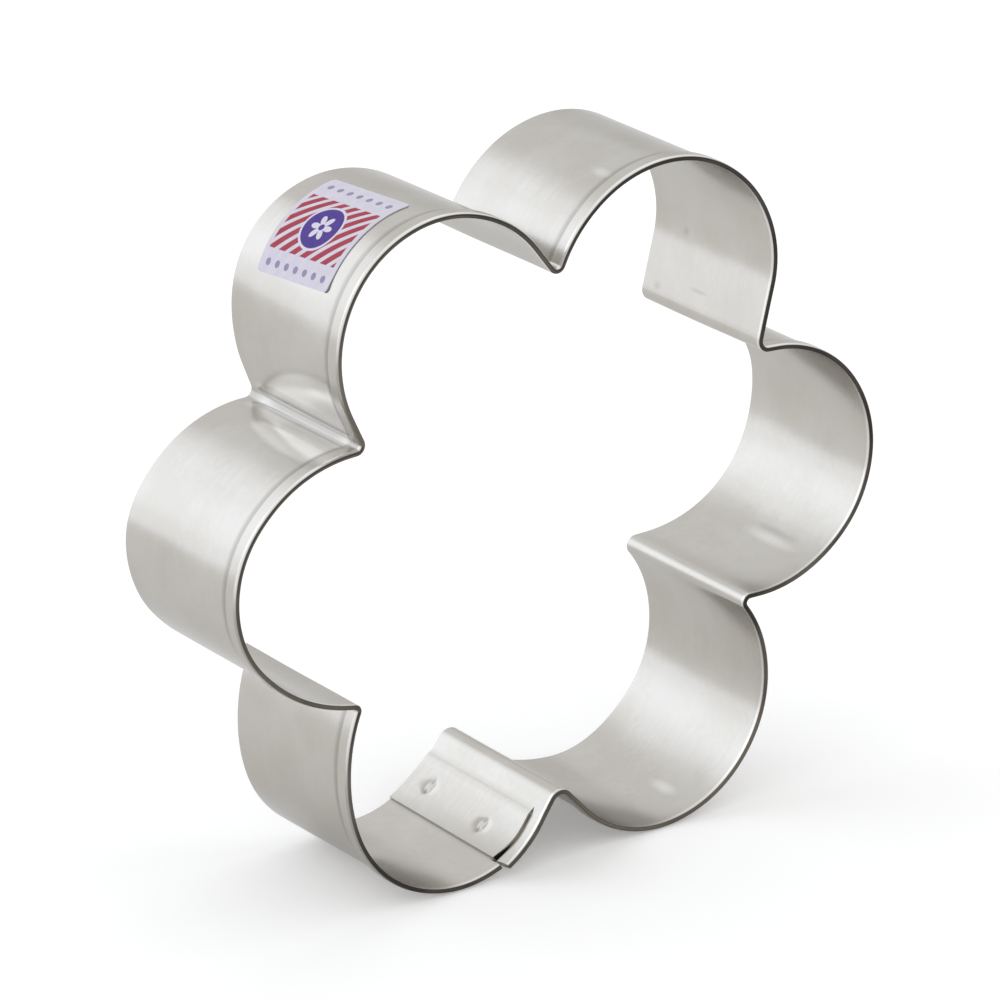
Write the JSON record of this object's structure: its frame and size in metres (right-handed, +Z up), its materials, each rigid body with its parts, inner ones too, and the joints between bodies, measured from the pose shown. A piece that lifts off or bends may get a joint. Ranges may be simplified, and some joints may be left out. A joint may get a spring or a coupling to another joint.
{
  "type": "cookie cutter",
  "caption": "Flower-shaped cookie cutter bent from one strip of tinplate, with a folded hem on the hand side, a spot-welded lap and a paper label on one petal",
  "frame": {"origin": "on the floor, at the bottom centre of the bounding box, as the cutter stands on edge on its two lower petals", "axes": "X runs across the flower and Z up it. Y is the cutting direction: the cutting edge faces +Y, and the hemmed rim that the hand presses faces -Y"},
  "size_m": [0.0852, 0.0232, 0.0787],
  "materials": {
    "tinplate": "satin tin plating on thin steel sheet",
    "weld_metal": "pressed and slightly burnt spot weld",
    "adhesive": "thin pressure-sensitive glue",
    "label": "coated label paper, printed"
  },
  "bodies": {
    "root": {"cutter_strip": "tinplate", "spot_weld_back": "weld_metal", "spot_weld_front": "weld_metal", "label_adhesive": "adhesive", "label_film": "label"}
  },
  "joints": []
}
